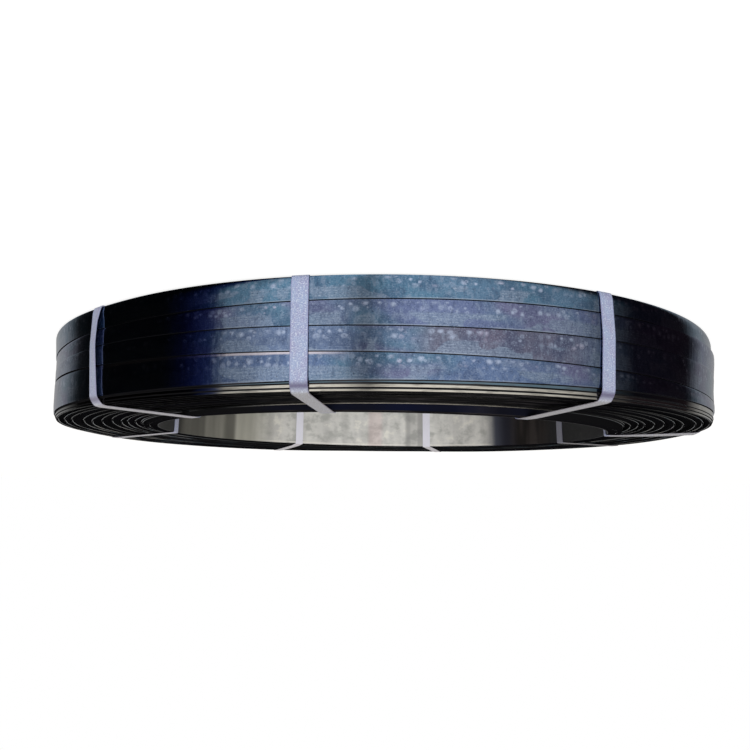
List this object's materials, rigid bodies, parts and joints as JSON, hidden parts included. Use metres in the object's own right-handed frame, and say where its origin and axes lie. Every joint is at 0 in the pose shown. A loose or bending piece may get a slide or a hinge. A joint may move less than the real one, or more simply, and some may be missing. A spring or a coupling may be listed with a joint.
{
  "type": "steel strip coil",
  "caption": "Low ring-shaped coil of blued carbon steel strip, wound in rows round a wide open bore, with a ragged upper end, held together by radial plastic tie straps.",
  "frame": {"origin": "on the floor under the middle of the coil, level with the underside of the tie straps", "axes": "+Z along the coil's axis, towards its ragged end; -Y towards the side that the picture sees"},
  "size_m": [0.7708, 0.7708, 0.0882],
  "materials": {
    "blued_strip": "blued, oiled and slightly streaky",
    "tie_strap": "embossed, off-white"
  },
  "bodies": {
    "root": {"strip_coil": "blued_strip", "tie_1": "tie_strap", "tie_2": "tie_strap", "tie_3": "tie_strap", "tie_4": "tie_strap", "tie_5": "tie_strap", "tie_6": "tie_strap", "tie_7": "tie_strap", "tie_8": "tie_strap"}
  },
  "joints": []
}
